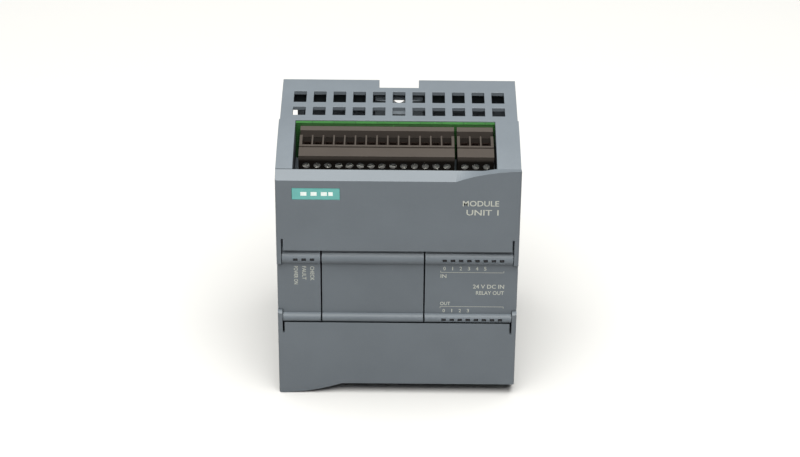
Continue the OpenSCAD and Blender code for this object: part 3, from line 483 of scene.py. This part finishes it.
epoxy, epoxy_tree, epoxy_shader = finish("lamp_epoxy", 0.22, coat=0.3)
chips = noise(epoxy_tree, on_piece(epoxy_tree), 0.6 * MM, 1.0)
lamp_yellow = ramp(epoxy_tree, chips, [(0.35, (0.74, 0.66, 0.40, 1)), (0.6, (0.80, 0.78, 0.66, 1))])
epoxy_tree.links.new(lamp_yellow, epoxy_shader.inputs["Base Color"])
dress("indicator_lamps", epoxy, 0.08 * MM)


# ---------- Power parts ----------
# On the power board stand the transformer, the capacitors, the choke, the fuse, the varistor and a finned
# aluminium sink. The backup capacitor of the processor board has the same printed sleeve.


def speckled(name, dark, light, feature, rough, coat=0.0, depth=0.01 * MM):
    """Two tones mixed by noise of marks about feature across, which also lift the skin by depth."""
    material, tree, shader = finish(name, rough, coat=coat)
    marks = noise(tree, on_piece(tree), feature, 4.0)
    tree.links.new(ramp(tree, marks, [(0.35, dark), (0.65, light)]), shader.inputs["Base Color"])
    tree.links.new(spread(tree, marks, rough - 0.06, rough + 0.08), shader.inputs["Roughness"])
    relief(tree, shader, marks, depth)
    return material


def banded(name, first, second, pitch, axis, rough, metallic=0.0, coat=0.0, depth=0.05 * MM):
    """Turns of tape or wire: a sine wave along axis, its crests two pitches apart, with a little wander."""
    material, tree, shader = finish(name, rough, metallic=metallic, coat=coat)
    wave = tree.nodes.new("ShaderNodeTexWave")
    wave.bands_direction = axis
    crests_per_unit = 20 / (2 * math.pi)
    wave.inputs["Scale"].default_value = 1.0 / (2 * pitch * crests_per_unit)
    wave.inputs["Distortion"].default_value = 0.4
    tree.links.new(on_piece(tree), wave.inputs["Vector"])
    turns = ramp(tree, wave.outputs["Fac"], [(0.2, first), (0.8, second)])
    tree.links.new(turns, shader.inputs["Base Color"])
    relief(tree, shader, wave.outputs["Fac"], depth)
    return material


ferrite = speckled("ferrite", (0.030, 0.031, 0.034, 1), (0.055, 0.056, 0.060, 1), 0.5 * MM, 0.55,
                   depth=0.03 * MM)
sleeve = speckled("printed_sleeve", (0.012, 0.020, 0.050, 1), (0.020, 0.032, 0.075, 1), 6 * MM, 0.30,
                  coat=0.4)
dress("transformer_core", ferrite, 0.4 * MM)
coated_ferrite = speckled("coated_ferrite", (0.05, 0.13, 0.07, 1), (0.07, 0.18, 0.10, 1), 2 * MM, 0.35)
dress("line_choke_core", coated_ferrite, 0.4 * MM)
winding_tape = banded("winding_tape", (0.55, 0.36, 0.06, 1), (0.72, 0.50, 0.12, 1), 1.1 * MM, "Z", 0.35)
dress("transformer_winding", winding_tape, 0.5 * MM)
dress("bulk_capacitor", sleeve, 0.5 * MM)
dress("output_capacitors", sleeve, 0.5 * MM)
dress("backup_capacitor", sleeve, 0.3 * MM)
enamelled_wire = banded("enamelled_wire", (0.38, 0.12, 0.04, 1), (0.80, 0.36, 0.16, 1), 0.7 * MM, "Z", 0.28,
                        metallic=0.8, coat=0.4)
dress("line_choke_winding", enamelled_wire, 0.3 * MM)
fuse_case = speckled("fuse_case", (0.10, 0.030, 0.015, 1), (0.14, 0.045, 0.022, 1), 3 * MM, 0.32)
dress("mains_fuse", fuse_case, 0.4 * MM)
varistor_lacquer = speckled("varistor_lacquer", (0.025, 0.09, 0.30, 1), (0.035, 0.12, 0.37, 1), 1.5 * MM,
                            0.30, coat=0.5)
dress("varistor", varistor_lacquer, 0.6 * MM)
aluminium = plated("extruded_aluminium", (0.62, 0.63, 0.65, 1), rough=0.36, lines=(1.0, 0.15, 1.0))
dress("heat_sink", aluminium, 0.15 * MM)


# ---------- Moulded chips and signal parts ----------
# Transfer-moulded epoxy packages, with the rectifier and the switching transistor of the power board among
# them, a metal-can crystal, and the white optocouplers that part the inputs from the logic.

package = speckled("package_epoxy", (0.016, 0.016, 0.017, 1), (0.030, 0.030, 0.031, 1), 0.25 * MM, 0.52,
                   depth=0.02 * MM)
for name in ("rectifier", "switching_transistor", "output_drivers", "processor_chip", "memory_chips",
             "network_transformer"):
    dress(name, package, 0.15 * MM)
white_epoxy = speckled("white_epoxy", (0.60, 0.59, 0.55, 1), (0.72, 0.71, 0.67, 1), 0.4 * MM, 0.45)
dress("optocouplers", white_epoxy, 0.15 * MM)
dress("crystal", plated("crystal_can", (0.70, 0.71, 0.72, 1), rough=0.2), 0.4 * MM)


# ---------- Nameplate ----------
# A thin inlaid plate of teal plastic with a printed sign of four bars, glued into the upper door.
# Its lacquer is smoother than the door.

TEAL = (0.075, 0.295, 0.275, 1.0)
BAR_FACES = np.array([(0, 1, 2, 3), (7, 6, 5, 4), (0, 4, 5, 1), (1, 5, 6, 2), (2, 6, 7, 3), (3, 7, 4, 0)])


def bars(boxes, front, proud=0.008 * MM, sunk=0.03 * MM):
    """Closed printed bars, each (x0, x1, z0, z1) as eight corners from front - proud to front + sunk."""
    boxes = np.array(boxes)
    x = boxes[:, [0, 1, 1, 0, 0, 1, 1, 0]]
    z = boxes[:, [2, 2, 3, 3, 2, 2, 3, 3]]
    y = np.broadcast_to(np.array([front - proud] * 4 + [front + sunk] * 4), x.shape)
    points = np.stack([x, y, z], axis=-1).reshape(-1, 3)
    faces = (BAR_FACES[None] + 8 * np.arange(len(boxes))[:, None, None]).reshape(-1, 4)
    return points, faces.tolist()


teal_lacquer = speckled("teal_lacquer", shade(TEAL, 0.96), shade(TEAL, 1.04), 3 * MM, 0.24, coat=0.3)
dress("nameplate", teal_lacquer, 0.08 * MM)
plate_low, plate_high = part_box("nameplate")
print_white = speckled("pale_print", (0.55, 0.62, 0.60, 1), (0.62, 0.68, 0.66, 1), 0.5 * MM, 0.4,
                       depth=0.001 * MM)
SIGN_MARGIN_X, SIGN_MARGIN_Z = 3.2 * MM, 1.7 * MM
BAR_W = 2.2 * MM
LAST_BAR = (-1.0 * MM, 0.6 * MM)
sign_x = np.linspace(plate_low[0] + SIGN_MARGIN_X, plate_high[0] - SIGN_MARGIN_X, 4)
sign_z = (plate_low[2] + SIGN_MARGIN_Z, plate_high[2] - SIGN_MARGIN_Z)
sign_boxes = [(x, x + BAR_W, *sign_z) for x in sign_x[:3]]
sign_boxes.append((sign_x[3] + LAST_BAR[0], sign_x[3] + LAST_BAR[1], *sign_z))
sign_points, sign_faces = bars(sign_boxes, plate_low[1])
closed_mesh("nameplate_sign", sign_points, sign_faces, print_white, "upper_door")


# ---------- Printed marks ----------
# Pad-printed light grey lettering, about a hundredth of a millimetre thick: channel numbers beside the
# lamps, brackets that tie the channels together, and short plain words.

PANEL_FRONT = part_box("front_housing")[0][1] + 1.9 * MM
DOOR_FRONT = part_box("upper_door")[0][1]


def lettering(text):
    """The built-in typeface as closed plates: x and y run from 0 to 1 over the word, thickness from 0 to 1."""
    curve = bpy.data.curves.new("lettering", "FONT")
    curve.body = text
    curve.extrude = 0.5
    curve.resolution_u = 3
    curve.offset = 0.012
    word = bpy.data.objects.new("lettering", curve)
    bpy.context.collection.objects.link(word)
    mesh = bpy.data.meshes.new_from_object(word.evaluated_get(bpy.context.evaluated_depsgraph_get()))
    points = np.empty(3 * len(mesh.vertices))
    mesh.vertices.foreach_get("co", points)
    points = points.reshape(-1, 3)
    faces = [tuple(p.vertices) for p in mesh.polygons]
    bpy.data.objects.remove(word)
    bpy.data.curves.remove(curve)
    bpy.data.meshes.remove(mesh)
    low = points.min(axis=0)
    return (points - low) / (points.max(axis=0) - low), faces


def printed(name, words, lines, front, body, proud=0.008 * MM, sunk=0.03 * MM):
    """Words and bars as one piece. A level word fills x0..x1 by z0..z1; a turned one reads downwards."""
    points, faces, count = [], [], 0
    for text, x0, x1, z0, z1, level in words:
        unit, word_faces = lettering(text)
        u, v = (unit[:, 0], unit[:, 1]) if level else (unit[:, 1], 1 - unit[:, 0])
        y = front + sunk - unit[:, 2] * (proud + sunk)
        points.append(np.stack([(x0 + u * (x1 - x0)) * MM, y, (z0 + v * (z1 - z0)) * MM], axis=-1))
        faces += [tuple(i + count for i in f) for f in word_faces]
        count += len(unit)
    if lines:
        line_points, line_faces = bars(np.array(lines) * MM, front, proud, sunk)
        points.append(line_points)
        faces += [tuple(i + count for i in f) for f in line_faces]
    mesh = bpy.data.meshes.new(name)
    mesh.from_pydata(np.concatenate(points).tolist(), [], faces)
    mesh.materials.append(mark_grey)
    piece = bpy.data.objects.new(name, mesh)
    bpy.context.collection.objects.link(piece)
    join = piece.modifiers.new("join", "WELD")
    join.merge_threshold = 0.0005 * MM
    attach(piece, body)
    return piece


def channel_numbers(count, low_z, high_z):
    """The digits from 0, each centred on its lamp's column; a 1 is narrow, so that its stroke stays thin."""
    half_w = [ONE_HALF_W if i == 1 else DIGIT_HALF_W for i in range(count)]
    return [(str(i), channel_x[i] - half_w[i], channel_x[i] + half_w[i], low_z, high_z, True)
            for i in range(count)]


def bracket(right, bar_z, tick_z):
    """A bar from BRACKET_LEFT to right at bar_z, and a tick at each end that starts at tick_z."""
    return [(BRACKET_LEFT, right, bar_z, bar_z + LINE_W),
            (BRACKET_LEFT, BRACKET_LEFT + LINE_W, tick_z, tick_z + TICK_LEN),
            (right - LINE_W, right, tick_z, tick_z + TICK_LEN)]


mark_grey = speckled("mark_print", (0.30, 0.31, 0.28, 1), (0.36, 0.37, 0.33, 1), 0.4 * MM, 0.45,
                     depth=0.001 * MM)
LAMPS, LAMP_PITCH, RIGHT_LAMP_X = 8, 3.04, 38.8
DIGIT_HALF_W, ONE_HALF_W = 0.45, 0.16
BRACKET_LEFT, LINE_W, TICK_LEN = 16.05, 0.15, 0.7
channel_x = [RIGHT_LAMP_X - LAMP_PITCH * i for i in reversed(range(LAMPS))]
panel_words = [("POWER ON", -38.7, -37.2, 48.8, 56.9, False), ("FAULT", -35.6, -34.1, 50.9, 56.9, False),
               ("CHECK", -32.6, -31.1, 50.5, 56.9, False),
               ("IN", 16.1, 18.3, 52.2, 53.8, True), ("OUT", 16.1, 19.9, 39.9, 41.4, True),
               ("24 V DC IN", 28.3, 40.0, 47.5, 49.3, True), ("RELAY OUT", 29.5, 40.0, 44.7, 46.4, True)]
panel_words += channel_numbers(6, 55.6, 57.2) + channel_numbers(4, 36.7, 38.2)
panel_lines = bracket(39.8, 54.55, 54.7) + bracket(40.0, 39.2, 38.5)
printed("panel_marks", panel_words, panel_lines, PANEL_FRONT, "case")
door_words = [("MODULE", 23.7, 37.0, 84.9, 87.3, True), ("UNIT 1", 25.1, 36.9, 81.0, 83.4, True)]
printed("door_marks", door_words, [], DOOR_FRONT, "upper_door")


# ---------- Studio ----------
# Pale floor, a wide soft light overhead, a second one in front of it, and a dim even surround.

CAMERA_DOWN = 32.34
CAMERA_ROLL = 0.494
CAMERA_PLACE = (0.79 * MM, -801.5 * MM, 558.8 * MM)

floor_half = 3.0
floor_mesh = bpy.data.meshes.new("floor")
floor_mesh.from_pydata([(-floor_half, -floor_half, 0), (floor_half, -floor_half, 0),
                        (floor_half, floor_half, 0), (-floor_half, floor_half, 0)], [], [(0, 1, 2, 3)])
floor = bpy.data.objects.new("floor", floor_mesh)
bpy.context.collection.objects.link(floor)
floor_paint, floor_tree, floor_shader = finish("floor_paint", 0.7, specular=0.1)
floor_shader.inputs["Base Color"].default_value = (0.43, 0.43, 0.43, 1)
floor_mesh.materials.append(floor_paint)


def softbox(name, place, aim, size, power, colour=(1.0, 1.0, 1.0)):
    """A square area light at place that faces aim."""
    lamp = bpy.data.lights.new(name, "AREA")
    lamp.size = size
    lamp.energy = power
    lamp.color = colour
    light = bpy.data.objects.new(name, lamp)
    light.location = place
    direction = np.array(aim) - np.array(place)
    light.rotation_euler = (math.atan2(math.hypot(direction[0], direction[1]), -direction[2]), 0.0,
                            math.atan2(direction[0], -direction[1]) + math.pi)
    bpy.context.collection.objects.link(light)


softbox("overhead", (0.0, -0.22, 1.1), (0.0, 0.0, 0.05), 1.4, 51.0, (1.0, 0.99, 0.95))
softbox("front", (0.0, -0.85, 0.8), (0.0, 0.0, 0.05), 0.4, 1.5)
world = bpy.data.worlds.new("surround")
world.use_nodes = True
world.node_tree.nodes["Background"].inputs["Color"].default_value = (0.97, 0.98, 1.0, 1)
world.node_tree.nodes["Background"].inputs["Strength"].default_value = 0.05
bpy.context.scene.world = world
bpy.context.scene.view_settings.view_transform = "Standard"

lens = bpy.data.cameras.new("camera")
lens.lens = 110.5
lens.clip_start = 0.01
camera = bpy.data.objects.new("camera", lens)
camera.location = CAMERA_PLACE
camera.rotation_mode = "QUATERNION"
camera.rotation_quaternion = (Matrix.Rotation(math.radians(90 - CAMERA_DOWN), 3, "X")
                              @ Matrix.Rotation(math.radians(CAMERA_ROLL), 3, "Z")).to_quaternion()
bpy.context.collection.objects.link(camera)
bpy.context.scene.camera = camera
